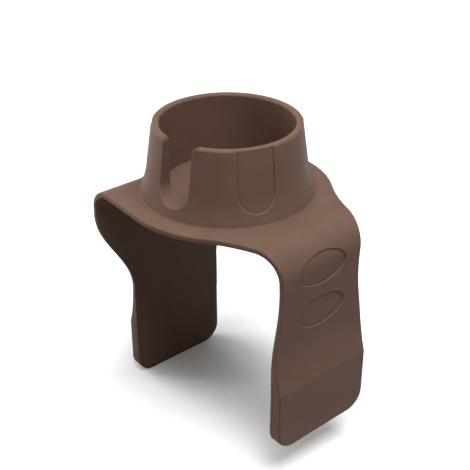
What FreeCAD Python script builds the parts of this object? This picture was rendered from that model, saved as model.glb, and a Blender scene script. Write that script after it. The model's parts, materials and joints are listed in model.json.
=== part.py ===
import FreeCAD, Part
import math
import os

# Weighted cup holder that straddles a sofa arm: a soft moulding with a cup ring on a saddle and a strap
# each side, which bends over the arm's edge and ends in a thick flap with a steel plate sealed inside.
# +X points to the front flap and +Z up. The origin is on the saddle's underside, below the cup's axis.
# All sizes are in millimetres, and all angles in degrees.

Vector = FreeCAD.Vector

# Cup ring
cup_bore_radius = 44.0
rim_wall = 5.0
rim_round = 1.8
cup_height = 52.0
floor_thickness = 5.0
floor_fillet = 2.0
wall_draft = 8.0
flare_height = 23.0
flare_radius = 80.0
root_fillet = 2.5

# Handle slot, and the shallow panels that repeat its outline round the ring
ring_positions = 6
slot_angle = -80.0
slot_width = 24.0
slot_sill = 10.5
slot_corner = 3.5
panel_width = 25.0
panel_sill = 11.0
panel_depth = 0.6

# Saddle and straps, with lengths along the middle of the sheet
sheet_thickness = 3.4
edge_round = 1.2
flange_width = 10.0
neck_reach = 39.0
neck_half_width = 33.5
neck_to_ramp = 39.5
swell_length = 55.0
end_half_width = 39.0
back_taper = 3.0

# Bends over the arm's two edges, and how much of the back one is moulded stiff with the saddle
bend_radius = 19.5
bend_angle = 90.0
front_ledge = 11.0
back_clearance = 0.5
stiff_share = 2 / 3

# Thick flap end
ramp_length = 26.0
end_height = 49.0
end_thickness = 9.0
end_corner = 13.0

# Steel plate in its pocket, and the cover that closes the pocket from behind
cover_thickness = 2.4
cover_seam = 0.5
pocket_wall = 4.5
pocket_corner = 9.0
weight_thickness = 4.2
weight_clearance = 0.2

# Plain oval recesses on the strap's outer face
oval_length = 40.0
oval_height = 21.0
oval_pitch = 30.3
oval_to_ramp = 7.5
oval_depth = 0.6

# Sections that carry each stretch of a strap, and how far cutting tools run past what they cut
stretch_sections = 5
overrun = 6.0

# Cup wall: a drafted line, then a wide flare, then a small fillet that ends at the toe on the saddle
draft = math.radians(wall_draft)
rim_radius = cup_bore_radius + rim_wall
flare_top_radius = rim_radius + (cup_height - flare_height) * math.tan(draft)
flare_centre = Vector(flare_top_radius + flare_radius * math.cos(draft), 0,
                      flare_height + flare_radius * math.sin(draft))
root_height = sheet_thickness + root_fillet
centre_gap = flare_radius - root_fillet
toe_radius = flare_centre.x - math.sqrt(centre_gap ** 2 - (flare_centre.z - root_height) ** 2)
root_centre = Vector(toe_radius, 0, root_height)
flare_end_angle = math.atan2(flare_centre.z - root_centre.z, flare_centre.x - root_centre.x)

# Front outline: the saddle's disc, a waist arc tangent to it, the neck, and two arcs to the flap's sides
saddle_radius = toe_radius + flange_width
neck_station = saddle_radius + neck_reach
waist_radius = ((neck_station ** 2 + neck_half_width ** 2 - saddle_radius ** 2)
                / (2 * (saddle_radius - neck_half_width)))
waist_station = saddle_radius * neck_station / (saddle_radius + waist_radius)
swell_end = neck_station + swell_length

# Stations along both straps, measured from the cup's axis
ramp_station = neck_station + neck_to_ramp
fold_station = ramp_station + ramp_length
end_station = fold_station + end_height

# Bends: the front one starts past the ring, and the back one's stiff share ends just past the ring
bend_turn = math.radians(bend_angle)
stiff_turn = bend_turn * stiff_share
bend_axis = sheet_thickness - bend_radius
bend_middle = bend_radius - sheet_thickness / 2
bend_length = bend_middle * bend_turn
front_bend_start = toe_radius + front_ledge
back_bend_start = toe_radius + back_clearance - bend_radius * math.sin(stiff_turn)

# Back outline: a wide band tangent to the disc as far as the bend's end, then two arcs to the flap's sides
taper = math.radians(back_taper)
taper_station = saddle_radius * math.sin(taper)
taper_half_width = saddle_radius * math.cos(taper)
shoulder_station = back_bend_start + bend_length
shoulder_half_width = taper_half_width - (shoulder_station - taper_station) * math.tan(taper)

# Weight pocket, as half sizes across and along the flap's end
pocket_half_width = end_half_width - pocket_wall
pocket_half_height = end_height / 2 - pocket_wall
pocket_depth = weight_thickness + 2 * weight_clearance


def arc_rise(radius, reach):
    """How far an arc has left its tangent at a reach along it, with a minus for an arc that curves inwards."""
    return radius - math.copysign(math.sqrt(radius ** 2 - reach ** 2), radius)


def two_arcs(station, start, end, start_half_width, end_half_width):
    """Half the width at a station on two equal arcs that lead from one width to another."""
    rise = end_half_width - start_half_width
    radius = ((end - start) ** 2 + rise ** 2) / (4 * rise)
    if station <= (start + end) / 2:
        return start_half_width + arc_rise(radius, station - start)
    return end_half_width - arc_rise(radius, end - station)


def front_half_width(station):
    """Half the moulding's width at a distance along the front strap from the cup's axis."""
    if station <= waist_station:
        return math.sqrt(saddle_radius ** 2 - station ** 2)
    if station <= neck_station:
        return neck_half_width + arc_rise(waist_radius, neck_station - station)
    if station <= swell_end:
        return two_arcs(station, neck_station, swell_end, neck_half_width, end_half_width)
    return end_half_width


def back_half_width(station):
    """The same for the back strap."""
    if station <= taper_station:
        return math.sqrt(saddle_radius ** 2 - station ** 2)
    if station <= shoulder_station:
        return taper_half_width - (station - taper_station) * math.tan(taper)
    if station <= ramp_station:
        return two_arcs(station, shoulder_station, ramp_station, shoulder_half_width, end_half_width)
    return end_half_width


def line(start, end):
    return Part.LineSegment(start, end).toShape()


def arc(start, middle, end):
    return Part.Arc(start, middle, end).toShape()


def curve(at, start, end):
    """The edge of an outline between two stations: a line where it runs straight, and otherwise an arc."""
    middle = at((start + end) / 2)
    chord_middle = (at(start) + at(end)) * 0.5
    if middle.distanceToPoint(chord_middle) < 1e-6:
        return line(at(start), at(end))
    return arc(at(start), middle, at(end))


def on_circle(centre, radius, angle):
    """A point of a circle in the XZ plane, with its angle in radians."""
    return centre + Vector(radius * math.cos(angle), 0, radius * math.sin(angle))


def face(edges):
    return Part.Face(Part.Wire(Part.__sortEdges__(edges)))


def revolve(profile):
    return profile.revolve(Vector(0, 0, 0), Vector(0, 0, 1), 360)


def spin(shape, angle):
    turned = shape.copy()
    turned.rotate(Vector(0, 0, 0), Vector(0, 0, 1), angle)
    return turned


def circles_at(shape, height):
    """Full-circle edges that lie at one height."""
    return [edge for edge in shape.Edges
            if isinstance(edge.Curve, Part.Circle) and abs(edge.BoundBox.ZMin - height) < 1e-6
            and edge.BoundBox.ZLength < 1e-6]


def wall_edges(inset):
    """The cup's outer wall from the flare's foot to the rim, moved inwards by inset."""
    radius = flare_radius + inset
    foot_angle = math.pi + flare_end_angle
    top_angle = math.pi + draft
    foot = on_circle(flare_centre, radius, foot_angle)
    middle = on_circle(flare_centre, radius, (foot_angle + top_angle) / 2)
    top = on_circle(flare_centre, radius, top_angle)
    rise = cup_height - top.z
    rim = Vector(top.x - rise * math.tan(draft), 0, cup_height)
    return foot, rim, [arc(foot, middle, top), line(top, rim)]


def cup_blank():
    """The cup as turned: floor, straight bore, rounded rim and flared wall."""
    foot, rim, wall = wall_edges(0)
    toe = Vector(toe_radius, 0, sheet_thickness)
    fillet_middle = on_circle(root_centre, root_fillet, (math.pi * 1.5 + math.pi + flare_end_angle) / 2)
    bore_top = Vector(cup_bore_radius, 0, cup_height)
    bore_foot = Vector(cup_bore_radius, 0, floor_thickness)
    axis_top = Vector(0, 0, floor_thickness)
    axis_foot = Vector(0, 0, 0)
    base = Vector(toe_radius, 0, 0)
    inside = [line(rim, bore_top), line(bore_top, bore_foot), line(bore_foot, axis_top)]
    underside = [line(axis_top, axis_foot), line(axis_foot, base), line(base, toe)]
    cup = revolve(face(wall + [arc(toe, fillet_middle, foot)] + inside + underside))
    cup = cup.makeFillet(rim_round, circles_at(cup, cup_height))
    floor_ring = [edge for edge in circles_at(cup, floor_thickness)
                  if abs(edge.Curve.Radius - cup_bore_radius) < 1e-6]
    return cup.makeFillet(floor_fillet, floor_ring)


def arch_prism(width, sill, corner):
    """A U-shaped prism along +X that is open at the rim, where its corners turn outwards by corner."""
    start = cup_bore_radius / 2
    half = width / 2
    mouth = half + corner
    shift = corner * (1 - math.cos(math.radians(45)))
    top = cup_height + overrun
    edges = [arc(Vector(start, -half, sill + half), Vector(start, 0, sill), Vector(start, half, sill + half))]
    for side in (-1, 1):
        waist = Vector(start, side * half, cup_height - corner)
        edges.append(line(Vector(start, side * half, sill + half), waist))
        lip = Vector(start, side * mouth, cup_height)
        if corner > 0:
            edges.append(arc(waist, Vector(start, side * (half + shift), cup_height - shift), lip))
        edges.append(line(lip, Vector(start, side * mouth, top)))
    edges.append(line(Vector(start, -mouth, top), Vector(start, mouth, top)))
    return face(edges).extrude(Vector(toe_radius, 0, 0))


def cup():
    """The cup with its handle slot, and the shallow panels at the other positions round the ring."""
    foot, rim, wall = wall_edges(panel_depth)
    above = Vector(rim.x - overrun * math.tan(draft), 0, cup_height + overrun)
    axis_top = Vector(0, 0, above.z)
    axis_foot = Vector(0, 0, foot.z)
    inside = [line(rim, above), line(above, axis_top), line(axis_top, axis_foot), line(axis_foot, foot)]
    panel = arch_prism(panel_width, panel_sill, 0).cut(revolve(face(wall + inside)))
    shape = cup_blank().cut(spin(arch_prism(slot_width, slot_sill, slot_corner), slot_angle))
    for position in range(1, ring_positions):
        shape = shape.cut(spin(panel, slot_angle + position * 360 / ring_positions))
    return shape


def saddle_plan():
    """The saddle's outline seen from above, run past its back end, as a prism through the sheet."""
    back_end = toe_radius + back_clearance + overrun
    edges = []
    for side in (-1, 1):
        def front_at(station):
            return Vector(station, side * front_half_width(station), bend_axis)

        def back_at(station):
            return Vector(-station, side * back_half_width(station), bend_axis)

        edges.append(curve(front_at, waist_station, front_bend_start))
        edges.append(arc(front_at(waist_station), front_at(0), back_at(taper_station)))
        edges.append(curve(back_at, taper_station, back_end))
    ends = {front_bend_start: front_half_width(front_bend_start), -back_end: back_half_width(back_end)}
    for reach, half in ends.items():
        edges.append(line(Vector(reach, -half, bend_axis), Vector(reach, half, bend_axis)))
    return face(edges).extrude(Vector(0, 0, bend_radius))


def saddle():
    """The flange: flat from the front bend to the back one, whose stiff share curves down behind the ring."""
    centre = Vector(-back_bend_start, -saddle_radius, bend_axis)
    across = Vector(0, 2 * saddle_radius, 0)
    flat_end = Vector(front_bend_start, -saddle_radius, 0)
    rough_turn = stiff_turn + overrun / bend_radius
    bend_edges = []
    for radius in (bend_radius, bend_radius - sheet_thickness):
        points = [on_circle(centre, radius, math.pi / 2 + rough_turn * share) for share in (0, 0.5, 1)]
        bend_edges.append((arc(*points), points[0], points[2]))
    (outer, outer_start, outer_end), (inner, inner_start, inner_end) = bend_edges
    flat_top = flat_end + Vector(0, 0, sheet_thickness)
    side_edges = [outer, line(outer_end, inner_end), inner, line(inner_start, flat_end)]
    side_edges += [line(flat_end, flat_top), line(flat_top, outer_start)]
    plate = face(side_edges).extrude(across).common(saddle_plan())

    def on_top(point):
        if point.x > -back_bend_start:
            return abs(point.z - sheet_thickness) < 1e-4
        return abs(math.hypot(point.x - centre.x, point.z - centre.z) - bend_radius) < 1e-4

    rims = [edge for edge in plate.Edges if edge.BoundBox.XLength > 1e-4
            and on_top(edge.valueAt((edge.FirstParameter + edge.LastParameter) / 2))]
    corners = [on_circle(centre, 2 * bend_radius, math.pi / 2 + stiff_turn * share) for share in (1, 2)]
    surplus = Part.Face(Part.makePolygon([centre] + corners + [centre])).extrude(across)
    return plate.makeFillet(edge_round, rims).cut(surplus)


def ring_foot():
    """The ring's foot below the floor, where it stands on the back bend's curve."""
    foot = Part.makeCylinder(toe_radius, -bend_axis, Vector(0, 0, bend_axis))
    axis = Vector(-back_bend_start, -toe_radius, bend_axis)
    over_flat = Part.makeBox(back_bend_start + toe_radius, 2 * toe_radius, -bend_axis, axis)
    under_bend = Part.makeCylinder(bend_radius, 2 * toe_radius, axis, Vector(0, 1, 0))
    return foot.cut(over_flat).cut(under_bend)


def rounded_section(half, thickness, at):
    """A sheet's section with its outer corners rounded, where at places a distance across and a depth."""
    shift = edge_round * (1 - math.cos(math.radians(45)))
    edges = [line(at(-half, thickness), at(half, thickness))]
    edges.append(line(at(edge_round - half, 0), at(half - edge_round, 0)))
    for side in (-1, 1):
        side_end = at(side * half, edge_round)
        edges.append(line(at(side * half, thickness), side_end))
        edges.append(arc(side_end, at(side * (half - shift), shift), at(side * (half - edge_round), 0)))
    return Part.Wire(Part.__sortEdges__(edges))


class Strap:
    """One side's strap, built towards +X, with its bend's start and its half width by station."""

    def __init__(self, start, half_width):
        self.start = start
        self.half_width = half_width
        self.bend_end = start + bend_length
        self.outer = start + bend_radius
        self.inner = self.outer - sheet_thickness

    def height(self, station):
        """Height of a station on the hanging flap, or of the outer surface on the bend."""
        if station >= self.bend_end:
            return bend_axis - (station - self.bend_end)
        return bend_axis + bend_radius * math.cos((station - self.start) / bend_middle)

    def bend_section(self, station):
        """The sheet's section on the bend, square to it."""
        angle = (station - self.start) / bend_middle

        def at(across, depth):
            reach = bend_radius - depth
            return Vector(self.start + reach * math.sin(angle), across, bend_axis + reach * math.cos(angle))

        return rounded_section(self.half_width(station), sheet_thickness, at)

    def flap_section(self, station):
        """The hanging flap's level section, which thickens along the ramp."""
        ramp_share = max(0, station - ramp_station) / ramp_length
        thickness = sheet_thickness + (end_thickness - sheet_thickness) * ramp_share

        def at(across, depth):
            return Vector(self.inner + thickness - depth, across, self.height(station))

        return rounded_section(self.half_width(station), thickness, at)

    def stretch(self, section, start, end):
        """The strap between two stations, through evenly spaced sections."""
        step = (end - start) / (stretch_sections - 1)
        stations = [start + step * count for count in range(stretch_sections)]
        return Part.makeLoft([section(station) for station in stations], True, False)

    def bend(self, share_from, share_to):
        """The part of the bend between two shares of its turn."""
        start, end = (self.start + bend_length * share for share in (share_from, share_to))
        return self.stretch(self.bend_section, start, end)

    def end_slab(self, thickness):
        """The flap's end below the fold, with its outline, from the inner side outwards."""
        high = self.height(fold_station)
        low = self.height(end_station)
        corner_shift = end_corner * (1 - math.cos(math.radians(45)))
        edges = []
        for side in (-1, 1):
            corner_top = Vector(self.inner, side * end_half_width, low + end_corner)
            corner_middle = Vector(self.inner, side * (end_half_width - corner_shift), low + corner_shift)
            corner_foot = Vector(self.inner, side * (end_half_width - end_corner), low)
            edges.append(line(Vector(self.inner, side * end_half_width, high), corner_top))
            edges.append(arc(corner_top, corner_middle, corner_foot))
        for height, half in ((high, end_half_width), (low, end_half_width - end_corner)):
            edges.append(line(Vector(self.inner, -half, height), Vector(self.inner, half, height)))
        return face(edges).extrude(Vector(thickness, 0, 0))

    def flap_blank(self):
        """The hanging flap: the sheet, the ramp and the thick end, with all outer edges rounded."""
        end = self.end_slab(end_thickness)
        upper = self.height(fold_station)
        outer = self.inner + end_thickness
        rim = [edge for edge in end.Edges
               if edge.BoundBox.XMin > outer - 1e-6 and edge.BoundBox.ZMin < upper - 1e-6]
        sheet = self.stretch(self.flap_section, self.bend_end, ramp_station)
        ramp = self.stretch(self.flap_section, ramp_station, fold_station)
        return end.makeFillet(edge_round, rim).fuse([ramp, sheet])

    def rounded_slab(self, half_across, half_along, corner, back, thickness):
        """A slab with rounded corners, centred on the flap's end."""
        middle = self.height(fold_station + end_height / 2)
        slab = Part.makeBox(thickness, 2 * half_across, 2 * half_along,
                            Vector(back, -half_across, middle - half_along))
        return slab.makeFillet(corner, [edge for edge in slab.Edges if edge.BoundBox.XLength > thickness / 2])

    def cover(self):
        """The cover across the end's back, with the seam chamfered where it meets the flap's edge."""
        slab = self.end_slab(cover_thickness)
        seam = self.inner + cover_thickness
        upper = self.height(fold_station)
        rim = [edge for edge in slab.Edges
               if abs(edge.BoundBox.XMin - seam) < 1e-6 and edge.BoundBox.ZMin < upper - 1e-6]
        return slab.makeChamfer(cover_seam, rim)

    def weight(self):
        back = self.inner + cover_thickness + weight_clearance
        return self.rounded_slab(pocket_half_width - weight_clearance, pocket_half_height - weight_clearance,
                                 pocket_corner - weight_clearance, back, weight_thickness)

    def ovals(self):
        """Tools that sink the two ovals to an even depth, also where one runs up on to the bend."""
        axis = Vector(self.start, -saddle_radius, bend_axis)
        floor = Part.makeCylinder(bend_radius - oval_depth, 2 * saddle_radius, axis, Vector(0, 1, 0))
        drop = bend_axis - self.height(end_station)
        flat = Part.makeBox(bend_radius - oval_depth, 2 * saddle_radius, drop, axis - Vector(0, 0, drop))
        lower = ramp_station - oval_to_ramp - oval_height / 2
        tools = []
        for station in (lower - oval_pitch, lower):
            high = self.height(station - oval_height / 2)
            low = self.height(station + oval_height / 2)
            centre = Vector(self.start, 0, (high + low) / 2)
            tip = centre + Vector(0, oval_length / 2, 0)
            crown = centre + Vector(0, 0, (high - low) / 2)
            oval = Part.Face(Part.Wire(Part.Ellipse(tip, crown, centre).toShape()))
            tools.append(oval.extrude(Vector(bend_radius + overrun, 0, 0)).cut(floor).cut(flat))
        return tools

    def nodes(self, bend_shares):
        """The strap's pieces, by the last part of their names, with its bend cut into the shares given."""
        pocket = self.rounded_slab(pocket_half_width, pocket_half_height, pocket_corner,
                                   self.inner + cover_thickness, pocket_depth)
        pieces = {name: self.bend(*shares) for name, shares in bend_shares.items()}
        pieces["flap"] = self.flap_blank().cut(self.end_slab(cover_thickness)).cut(pocket)
        for tool in self.ovals():
            pieces = {name: shape.cut(tool) for name, shape in pieces.items()}
        pieces["weight_plate"] = self.weight()
        pieces["pocket_cover"] = self.cover()
        return pieces


front_strap = Strap(front_bend_start, front_half_width)
back_strap = Strap(back_bend_start, back_half_width)

nodes = {"cup_saddle": saddle().fuse([ring_foot(), cup()]).removeSplitter()}
for name, shape in front_strap.nodes({"bend_upper": (0, 0.5), "bend_lower": (0.5, 1)}).items():
    nodes["front_" + name] = shape
for name, shape in back_strap.nodes({"bend": (stiff_share, 1)}).items():
    nodes["back_" + name] = shape.mirror(Vector(0, 0, 0), Vector(1, 0, 0))

os.makedirs("parts", exist_ok=True)
for name, shape in nodes.items():
    shape.exportStep("parts/" + name + ".step")
    state = "valid" if shape.isValid() else "NOT VALID"
    print(name, state, len(shape.Solids), "solid", round(shape.Volume), "mm3")
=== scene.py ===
import json
import math
from functools import partial

import bmesh
import bpy
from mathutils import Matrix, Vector


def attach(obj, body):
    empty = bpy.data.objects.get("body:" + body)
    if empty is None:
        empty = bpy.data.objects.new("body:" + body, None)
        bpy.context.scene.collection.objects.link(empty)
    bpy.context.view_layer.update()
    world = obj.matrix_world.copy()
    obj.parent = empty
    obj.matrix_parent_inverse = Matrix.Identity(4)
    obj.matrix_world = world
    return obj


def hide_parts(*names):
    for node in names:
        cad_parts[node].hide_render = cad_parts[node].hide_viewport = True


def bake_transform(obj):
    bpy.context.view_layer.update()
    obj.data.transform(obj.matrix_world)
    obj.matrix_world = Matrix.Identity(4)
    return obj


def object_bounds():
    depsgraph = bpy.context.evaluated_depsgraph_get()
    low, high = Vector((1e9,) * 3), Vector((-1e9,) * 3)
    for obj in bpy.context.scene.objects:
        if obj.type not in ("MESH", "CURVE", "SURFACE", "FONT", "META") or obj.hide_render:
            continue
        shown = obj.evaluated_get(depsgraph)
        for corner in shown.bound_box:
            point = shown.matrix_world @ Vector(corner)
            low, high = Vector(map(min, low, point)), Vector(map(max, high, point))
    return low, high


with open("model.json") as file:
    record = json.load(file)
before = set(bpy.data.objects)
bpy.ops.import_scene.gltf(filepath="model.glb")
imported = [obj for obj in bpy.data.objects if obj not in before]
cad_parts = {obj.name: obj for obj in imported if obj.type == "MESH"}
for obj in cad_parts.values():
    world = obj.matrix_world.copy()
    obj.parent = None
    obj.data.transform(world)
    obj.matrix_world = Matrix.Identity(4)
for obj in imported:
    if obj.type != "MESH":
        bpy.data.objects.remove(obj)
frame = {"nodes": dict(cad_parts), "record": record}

# Sizes are in metres and angles in degrees, in the part's own frame. The lens and sensor are in millimetres.
cad_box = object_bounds()
joints = {joint["name"]: joint for joint in frame["record"]["behaviour"]["joints"]}

# Camera of the photograph, solved from the ring's rim and the front flap's straight lines
camera_place = Vector((0.42758, -0.36125, 0.28704))
camera_azimuth = 49.31
camera_pitch = 29.78
camera_lens = 72.15
sensor_width = 36.0

# Floor just under the lowest flap, and the distances over which it fades into the backdrop
floor_gap = 0.0005
floor_reach = 6.0
floor_colour = (0.915, 0.9, 0.88, 1)
floor_bounce = (0.2, 0.2, 0.2, 1)
floor_fade = (0.45, 1.3)
floor_roughness = 0.9

# Wide lamps overhead and on the camera's left, and an even surround before a white backdrop
surround_colour = (0.2, 0.187, 0.172, 1)
backdrop_colour = (1, 1, 1, 1)
overhead_place = Vector((0.4, -0.05, 1.2))
overhead_size = 0.9
overhead_power = 32.5
overhead_colour = (0.92, 1.0, 1.08)
side_place = Vector((-1.0, -0.5, 0.42))
side_size = 0.8
side_power = 12.0
side_colour = (1.0, 0.98, 0.95)

# Silicone: two tones of mottling, pale specks of dust, a fine grain and a broad sheen
silicone_tones = [(0.099, 0.053, 0.0355, 1), (0.115, 0.063, 0.0435, 1)]
mottle_scale = 42.0
mottle_detail = 4.0
mottle_roughness = 0.6
mottle_range = (0.3, 0.72)
dust_colour = (0.17, 0.12, 0.10, 1)
speck_scale = 900.0
speck_detail = 1.0
speck_range = (0.7, 0.82)
dust_share = 0.4
grain_scale = 3200.0
grain_detail = 2.0
grain_strength = 0.1
grain_height = 0.0001
silicone_roughness = (0.5, 0.62)
silicone_specular = 0.1

# Silicone's edges: rounded, with a painted highlight where the rounding turns; inner corners get painted
# shade and are duller
shading_samples = 8
edge_highlight_colour = (0.21, 0.16, 0.14, 1)
edge_softness = 0.0006
edge_highlight_range = (0.965, 0.85)
edge_highlight_share = 0.7
corner_shade_colour = (0.05, 0.028, 0.02, 1)
corner_reach = 0.004
corner_shade_range = (0.94, 0.68)
corner_shade_share = 0.7
corner_dullness = 0.5

# Steel: two tones in fine lines
steel_tones = [(0.30, 0.30, 0.31, 1), (0.52, 0.52, 0.53, 1)]
brush_stretch = (60.0, 60.0, 2400.0)
brush_scale = 1.0
brush_detail = 3.0
brush_range = (0.3, 0.7)
brush_strength = 0.1
brush_height = 0.00005
steel_roughness = (0.35, 0.5)

# Moulding: how its nodes are welded, where its shading breaks, and how finely its bends are cut
weld_distance = 0.00002
cut_tolerance = 0.000002
on_plane = 0.000005
on_section = 0.1
crease_angle = 32.0
fold_angle = 8.0
strip_width = 0.001
bend_step = 3.75

# Flaps: thickness, and heights of the ramp's top and fold above the end, in the solids and in the photograph
sheet_thickness = 0.0034
end_thickness = 0.009
pivot_gap = 0.00005
edge_round = 0.0012
rebate_depth = 0.0025
solid_ramp = (0.075, 0.049)
shown_ramp = (0.079, 0.045)
straight_power = 1.0
hollow_power = 1.9
ramp_step = 0.002

# Pocket covers: how flat a face's triangles lie, and the ease on the edge of the face that shows
flat_angle = 0.5
seam_ease = 0.0004
ease_segments = 3
round_profile = 0.5

# Turns along each bend at which the skin is cut into its pieces. Over 90 is on the flap.
front_stops = [0.0, 22.5, 67.5, 105.0]
back_stops = [81.0, 110.0]


def fill(node, *values, **named):
    """Gives a node's inputs, in order or by name, plain values or the outputs of other nodes."""
    pairs = list(zip(node.inputs, values))
    pairs += [(node.inputs[key.replace("_", " ")], value) for key, value in named.items()]
    for socket, value in pairs:
        if isinstance(value, bpy.types.NodeSocket):
            node.id_data.links.new(value, socket)
        else:
            socket.default_value = value


def add_node(tree, kind, *values, settings=None, **named):
    """Adds a node to a tree, with its settings and inputs."""
    node = tree.nodes.new(kind)
    for key, value in (settings or {}).items():
        setattr(node, key, value)
    fill(node, *values, **named)
    return node


def new_material(name):
    """A material with its shader, and a short way to add nodes to it."""
    material = bpy.data.materials.new(name)
    material.use_nodes = True
    tree = material.node_tree
    return material, tree.nodes["Principled BSDF"], partial(add_node, tree)


def object_place(add):
    return add("ShaderNodeTexCoord").outputs["Object"]


def noise(add, place, **inputs):
    return add("ShaderNodeTexNoise", Vector=place, **inputs).outputs["Fac"]


def two_tone(add, value, places, tones):
    """Runs from one tone to the other while a value passes between two places."""
    node = add("ShaderNodeValToRGB", Fac=value)
    for element, place, tone in zip(node.color_ramp.elements, places, tones):
        element.position = place
        element.color = tone
    return node.outputs["Color"]


def share(add, value, limits, most):
    """Rises from none to the most while a value passes between two limits."""
    start, end = limits
    node = add("ShaderNodeMapRange", Value=value, From_Min=start, From_Max=end, To_Min=0.0, To_Max=most)
    return node.outputs["Result"]


def between(add, value, limits):
    """Goes from one limit to the other while a value goes from 0 to 1."""
    low, high = limits
    return add("ShaderNodeMapRange", Value=value, To_Min=low, To_Max=high).outputs["Result"]


def calculate(add, operation, *values):
    return add("ShaderNodeMath", *values, settings={"operation": operation}).outputs["Value"]


def laid_over(add, below, above, part):
    """One colour over another, by the part of it that shows."""
    mix = add("ShaderNodeMix", settings={"data_type": "RGBA"}, Factor=part, A=below, B=above)
    return mix.outputs["Result"]


def silicone():
    """Matte moulded silicone, with the mould's fine grain, the dust that such rubber picks up, a painted
    highlight along its edges and painted shade in its inner corners.
    """
    material, shader, add = new_material("moulded_silicone")
    place = object_place(add)
    mottle = noise(add, place, Scale=mottle_scale, Detail=mottle_detail, Roughness=mottle_roughness)
    specks = noise(add, place, Scale=speck_scale, Detail=speck_detail)
    grain = noise(add, place, Scale=grain_scale, Detail=grain_detail)
    sampled = {"samples": shading_samples}
    rounded = add("ShaderNodeBevel", settings=sampled, Radius=edge_softness).outputs["Normal"]
    true_normal = add("ShaderNodeNewGeometry").outputs["Normal"]
    flatness = add("ShaderNodeVectorMath", rounded, true_normal, settings={"operation": "DOT_PRODUCT"})
    openness = add("ShaderNodeAmbientOcclusion", settings=sampled, Distance=corner_reach)
    dusty = share(add, specks, speck_range, dust_share)
    # Painted shade: a darker colour, and more roughness, where ambient occlusion finds inner corners
    painted_corner_shade = share(add, openness.outputs["AO"], corner_shade_range, corner_shade_share)
    # Painted highlight: a paler colour along sharp edges, where the bevelled normal turns away from the true
    # one
    painted_edge_highlight = share(add, flatness.outputs["Value"], edge_highlight_range, edge_highlight_share)
    colour = two_tone(add, mottle, mottle_range, silicone_tones)
    # Dust specks, then the painted corner shade, then the painted edge highlight, over the mottled tone
    for shade, part in ((dust_colour, dusty), (corner_shade_colour, painted_corner_shade), (edge_highlight_colour, painted_edge_highlight)):
        colour = laid_over(add, colour, shade, part)
    roughness = between(add, mottle, silicone_roughness)
    roughness = calculate(add, "MULTIPLY_ADD", painted_corner_shade, corner_dullness, roughness)
    bump = add("ShaderNodeBump", Strength=grain_strength, Distance=grain_height,
               Height=grain, Normal=rounded)
    fill(shader, Base_Color=colour, Roughness=roughness, Normal=bump.outputs["Normal"])
    fill(shader, Specular_IOR_Level=silicone_specular)
    return material


def steel():
    """Plain cut plate with a fine brushed direction."""
    material, shader, add = new_material("cut_steel")
    place = add("ShaderNodeMapping", Vector=object_place(add), Scale=brush_stretch).outputs["Vector"]
    lines = noise(add, place, Scale=brush_scale, Detail=brush_detail)
    colour = two_tone(add, lines, brush_range, steel_tones)
    roughness = between(add, lines, steel_roughness)
    bump = add("ShaderNodeBump", Strength=brush_strength, Distance=brush_height, Height=lines)
    fill(shader, Base_Color=colour, Metallic=1.0, Roughness=roughness, Normal=bump.outputs["Normal"])
    return material


class Bend:
    """A quarter bend of the moulding, found from its joints, the last of which sits at its end."""

    def __init__(self, side, joint_names):
        places = [Vector(joints[name]["pos_m"]) for name in joint_names]
        first, last = places[0], places[-1]
        reach = side * (last.x - first.x)
        drop = first.z - last.z
        turned = math.pi / 2 - 2 * math.atan2(reach, drop)
        self.side = side
        self.radius = drop / math.cos(turned)
        self.axis = Vector((last.x - side * self.radius, 0, last.z))
        self.seams = [self.turn(place) for place in places]
        self.first_turn = self.seams[0]

    def outwards(self, turn):
        """The direction from the axis to the sheet at a turn of up to 90."""
        angle = math.radians(turn)
        return Vector((self.side * math.sin(angle), 0, math.cos(angle)))

    def onwards(self, turn):
        """The direction in which the sheet runs at a turn."""
        return self.outwards(min(turn, 90.0) + 90)

    def point(self, turn):
        """A point of the outer surface. Turns above 90 go on down the flap, as far as the arc would."""
        past = math.radians(max(0.0, turn - 90)) * self.radius
        return self.axis + self.outwards(min(turn, 90.0)) * self.radius - Vector((0, 0, past))

    def turn(self, point):
        """The turn at which a point of the moulding sits, below 0 on the saddle's side of the bend."""
        reach = self.side * (point.x - self.axis.x)
        height = point.z - self.axis.z
        if reach <= 0 and height <= 0:
            return -90.0
        if height < 0:
            return 90 - math.degrees(height / self.radius)
        return math.degrees(math.atan2(reach, height))


def corners_of(items):
    return [item for item in items if isinstance(item, bmesh.types.BMVert)]


def cut(shape, items, place, direction):
    """Cuts faces, edges and corners of a shape along a plane, and returns what they are then."""
    result = bmesh.ops.bisect_plane(shape, geom=items, dist=cut_tolerance,
                                    plane_co=place, plane_no=direction)
    return result["geom"]


def breadth(face):
    """A face's height above its longest side, which is small on the strips that make up a rounded edge."""
    return 2 * face.calc_area() / max(edge.calc_length() for edge in face.edges)


def flap_thickness(height, ramp, power):
    """The flap's thickness at a height above its end, where a power over 1 makes the ramp hollow."""
    top, fold = ramp
    done = min(1.0, max(0.0, (top - height) / (top - fold)))
    return sheet_thickness + (end_thickness - sheet_thickness) * done ** power


def shown_depth(depth, solid, shown):
    """A point's depth from the flap's inner face when the thickness changes and the outer rounding stays."""
    kept = min(rebate_depth, solid / 2)
    if depth <= kept:
        return depth
    if depth >= solid - edge_round:
        return depth + shown - solid
    return kept + (depth - kept) * (shown - edge_round - kept) / (solid - edge_round - kept)


def hollow_ramp(shape, bend, strap):
    """Draws the flap's outer face in to the photograph's longer, hollow ramp, cut into level strips."""
    low = min(corner.co.z for corner in corners_of(strap))
    top, fold = shown_ramp
    strips = round((top - fold) / ramp_step)
    for strip in range(strips + 1):
        level = Vector((0, 0, low + fold + strip * ramp_step))
        strap = cut(shape, strap, level, Vector((0, 0, 1)))
    inner = bend.side * bend.point(90).x - pivot_gap - sheet_thickness
    for corner in corners_of(strap):
        height = corner.co.z - low
        solid = flap_thickness(height, solid_ramp, straight_power)
        shown = flap_thickness(height, shown_ramp, hollow_power)
        if fold < height < top:
            depth = bend.side * corner.co.x - inner
            corner.co.x = bend.side * (inner + shown_depth(depth, solid, shown))


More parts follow.
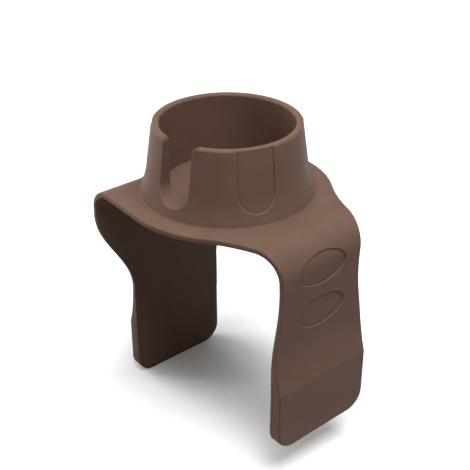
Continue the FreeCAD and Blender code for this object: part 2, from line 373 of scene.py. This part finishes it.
def open_seams(shape, bend):
    """Deletes the faces inside the moulding where the bend's nodes met."""
    for turn in bend.seams:
        onwards = bend.onwards(turn)
        sections = [face for face in shape.faces
                    if all(abs((corner.co - bend.axis).dot(onwards)) < on_plane for corner in face.verts)
                    and (face.verts[0].co - bend.axis).dot(bend.outwards(turn)) > 0]
        bmesh.ops.delete(shape, geom=sections, context="FACES")


def cut_bend(shape, bend, stops):
    """Cuts the strap finely where it bends, and returns the strap's corners, edges and faces."""
    count = round((stops[-1] - stops[0]) / bend_step)
    steps = {stops[0] + bend_step * step for step in range(1, count)}
    faces = [face for face in shape.faces
             if min(bend.turn(corner.co) for corner in face.verts) > bend.first_turn - on_section]
    edges = {edge for face in faces for edge in face.edges}
    corners = {corner for face in faces for corner in face.verts}
    strap = list(corners) + list(edges) + faces
    for turn in sorted(steps.union(stops[1:])):
        strap = cut(shape, strap, bend.point(turn), bend.onwards(turn))
    return strap


def welded(bends):
    """The moulding's nodes as one mesh, with fine cuts where it bends and its shading broken at folds."""
    shape = bmesh.new()
    for name, node in frame["nodes"].items():
        if "weight" not in name and "cover" not in name:
            shape.from_mesh(node.data)
    bmesh.ops.remove_doubles(shape, verts=shape.verts, dist=weld_distance)
    for bend, stops in bends:
        open_seams(shape, bend)
        strap = cut_bend(shape, bend, stops)
        hollow_ramp(shape, bend, strap)
    shape.normal_update()
    for face in shape.faces:
        face.smooth = True
    for edge in shape.edges:
        if len(edge.link_faces) == 2:
            fold = edge.is_convex and min(breadth(face) for face in edge.link_faces) > strip_width
            edge.smooth = edge.calc_face_angle() < math.radians(fold_angle if fold else crease_angle)
    mesh = bpy.data.meshes.new("moulding")
    shape.to_mesh(mesh)
    shape.free()
    return mesh


def keep_normals(mesh):
    """Stores the whole moulding's normals at the face corners, so that no cut between its pieces shows."""
    whole = bpy.data.objects.new("moulding", mesh)
    bpy.context.collection.objects.link(whole)
    weighted = whole.modifiers.new("weighted", "WEIGHTED_NORMAL")
    weighted.keep_sharp = True
    shown = whole.evaluated_get(bpy.context.evaluated_depsgraph_get())
    normals = [value for corner in shown.to_mesh().corner_normals for value in corner.vector]
    bpy.data.objects.remove(whole)
    store = mesh.attributes.new("whole_normal", "FLOAT_VECTOR", "CORNER")
    store.data.foreach_set("vector", normals)


def piece(name, whole, belongs, material):
    """One piece of the moulding: the faces whose middles belong to it."""
    mesh = whole.copy()
    mesh.name = name
    shape = bmesh.new()
    shape.from_mesh(mesh)
    others = [face for face in shape.faces if not belongs(face.calc_center_median())]
    bmesh.ops.delete(shape, geom=others, context="FACES")
    shape.to_mesh(mesh)
    shape.free()
    store = mesh.attributes["whole_normal"]
    normals = [Vector(corner.vector) for corner in store.data]
    mesh.attributes.remove(store)
    mesh.normals_split_custom_set(normals)
    mesh.materials.append(material)
    made = bpy.data.objects.new(name, mesh)
    bpy.context.collection.objects.link(made)
    return made


def moulding(material):
    """The soft moulding, in pieces: the ring with its saddle and each flap's skin ride a body, and the
    bends' pieces stay where they are made.
    """
    front = Bend(1, ["front_fold", "front_fold_middle", "front_fold_end"])
    back = Bend(-1, ["back_fold", "back_fold_end"])
    folds = {
        "front": (front, front_stops, ["saddle", "front_bend_upper", "front_bend_lower", "front_flap"]),
        "back": (back, [back.first_turn] + back_stops, ["saddle", "back_bend", "back_flap"]),
    }
    whole = welded([(bend, stops) for bend, stops, chain in folds.values()])
    keep_normals(whole)

    def before_bends(point):
        return front.turn(point) <= front.first_turn and back.turn(point) <= back.first_turn

    ring = piece("ring_and_saddle", whole, before_bends, material)
    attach(ring, "saddle")
    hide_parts("cup_saddle")
    for side, (bend, stops, chain) in folds.items():
        for count, (start, end) in enumerate(zip(stops, stops[1:])):
            fold = piece(f"{side}_fold_{count + 1}", whole,
                         lambda point: start < bend.turn(point) <= end, material)
            bend.point(start)
            bend.point(end)
            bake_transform(fold)
            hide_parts(*[node for node in chain[count:count + 2] if "bend" in node])
        flap = piece(f"{side}_flap_skin", whole, lambda point: bend.turn(point) > stops[-1], material)
        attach(flap, f"{side}_flap")
        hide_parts(f"{side}_flap")


def cover(side, material):
    """A pocket's cover, with the edge of its shown face eased so that its bonded seam shows."""
    name = f"{side}_pocket_cover"
    shape = bmesh.new()
    shape.from_mesh(frame["nodes"][name].data)
    bmesh.ops.remove_doubles(shape, verts=shape.verts, dist=weld_distance)
    bmesh.ops.dissolve_limit(shape, verts=shape.verts, edges=shape.edges,
                             angle_limit=math.radians(flat_angle))
    arm_side = Vector((-1 if side == "front" else 1, 0, 0))
    shown = max(shape.faces, key=lambda face: face.normal.dot(arm_side) * face.calc_area())
    bmesh.ops.bevel(shape, geom=shown.edges[:], offset=seam_ease, segments=ease_segments,
                    profile=round_profile, affect="EDGES")
    for face in shape.faces:
        face.smooth = True
    for edge in shape.edges:
        edge.smooth = edge.calc_face_angle() < math.radians(crease_angle)
    mesh = bpy.data.meshes.new(f"{side}_cover_skin")
    shape.to_mesh(mesh)
    shape.free()
    mesh.materials.append(material)
    made = bpy.data.objects.new(mesh.name, mesh)
    bpy.context.collection.objects.link(made)
    made.modifiers.new("weighted", "WEIGHTED_NORMAL").keep_sharp = True
    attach(made, f"{side}_flap")
    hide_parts(name)


def shown_rays(add):
    """The rays to which the floor and the backdrop show their pale colour: seen, mirrored or let through."""
    path = add("ShaderNodeLightPath")
    rays = path.outputs["Is Camera Ray"]
    for kind in ("Is Glossy Ray", "Is Transmission Ray"):
        rays = calculate(add, "MAXIMUM", rays, path.outputs[kind])
    return rays


def floor():
    """A pale floor just under the object, which fades into the backdrop and throws little light up."""
    low = cad_box[0][2] - floor_gap
    mesh = bpy.data.meshes.new("floor")
    corners = [(x * floor_reach, y * floor_reach, low) for x, y in ((-1, -1), (1, -1), (1, 1), (-1, 1))]
    mesh.from_pydata(corners, [], [(0, 1, 2, 3)])
    plane = bpy.data.objects.new("floor", mesh)
    bpy.context.collection.objects.link(plane)
    material, shader, add = new_material("pale_floor")
    rays = shown_rays(add)
    distance = add("ShaderNodeVectorMath", object_place(add), settings={"operation": "LENGTH"})
    near, far = floor_fade
    fade = add("ShaderNodeMapRange", settings={"interpolation_type": "SMOOTHSTEP"},
               Value=distance.outputs["Value"], From_Min=near, From_Max=far)
    glow = calculate(add, "MULTIPLY", fade.outputs["Result"], rays)
    fill(shader, Base_Color=laid_over(add, floor_bounce, floor_colour, rays), Roughness=floor_roughness)
    fill(shader, Emission_Color=backdrop_colour, Emission_Strength=glow)
    mesh.materials.append(material)


def panel_light(name, place, size, power, colour):
    """A square lamp that faces the frame's origin."""
    lamp = bpy.data.lights.new(name, "AREA")
    lamp.size = size
    lamp.energy = power
    lamp.color = colour
    light = bpy.data.objects.new(name, lamp)
    light.location = place
    light.rotation_euler = (-place).to_track_quat("-Z", "Y").to_euler()
    bpy.context.collection.objects.link(light)


def surround():
    """Even soft light, shown to the camera and in reflections as a white backdrop."""
    sky = bpy.data.worlds.new("studio")
    sky.use_nodes = True
    add = partial(add_node, sky.node_tree)
    colour = laid_over(add, surround_colour, backdrop_colour, shown_rays(add))
    fill(sky.node_tree.nodes["Background"], Color=colour)
    bpy.context.scene.world = sky


def camera():
    data = bpy.data.cameras.new("photo_camera")
    data.lens = camera_lens
    data.sensor_width = sensor_width
    view = bpy.data.objects.new("photo_camera", data)
    view.location = camera_place
    view.rotation_euler = (math.radians(90 - camera_pitch), 0, math.radians(camera_azimuth))
    bpy.context.collection.objects.link(view)
    bpy.context.scene.camera = view


rubber = silicone()
plate = steel()
for name, node in frame["nodes"].items():
    node.data.materials.clear()
    node.data.materials.append(plate if "weight" in name else rubber)
moulding(rubber)
for side in ("front", "back"):
    cover(side, rubber)
floor()
surround()
panel_light("overhead", overhead_place, overhead_size, overhead_power, overhead_colour)
panel_light("side", side_place, side_size, side_power, side_colour)
camera()
bpy.context.scene.view_settings.view_transform = "Standard"
